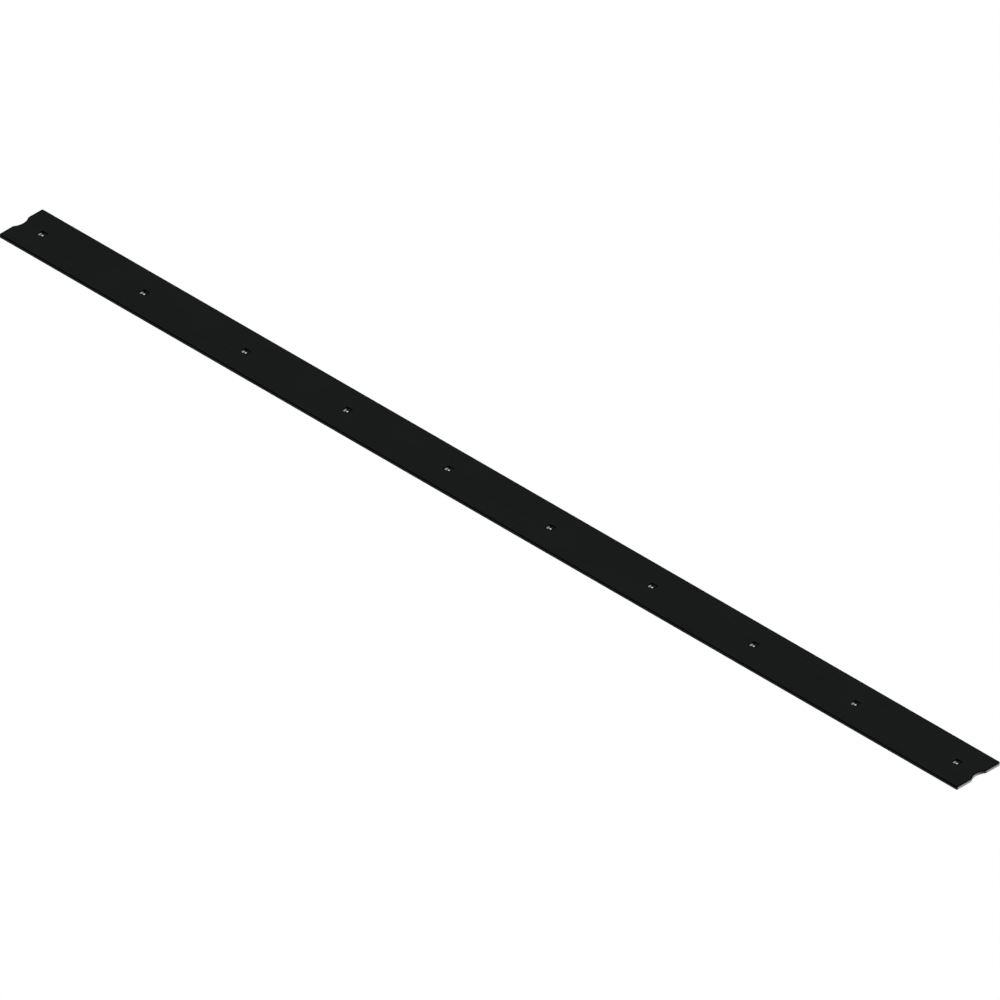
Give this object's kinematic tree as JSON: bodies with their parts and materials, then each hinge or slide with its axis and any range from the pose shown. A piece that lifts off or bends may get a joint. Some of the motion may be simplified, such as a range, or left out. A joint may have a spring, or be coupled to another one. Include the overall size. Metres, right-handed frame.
{
  "type": "plow wear bar",
  "caption": "Flat steel wear bar for a small snow plow: a long thin strip with a shallow arc notch in each end and a centreline row of square bolt holes.",
  "frame": {"origin": "centre of the back face, the large face that beds against the plow, which lies on z = 0", "axes": "+X along the bar's length, +Y across its width from one long edge to the other, +Z through its thickness from the back face to the front face"},
  "size_m": [1.6764, 0.0762, 0.0048],
  "materials": {
    "black_paint": "satin black paint over hot-rolled steel plate"
  },
  "bodies": {
    "root": {"wear_bar": "black_paint"}
  },
  "joints": []
}
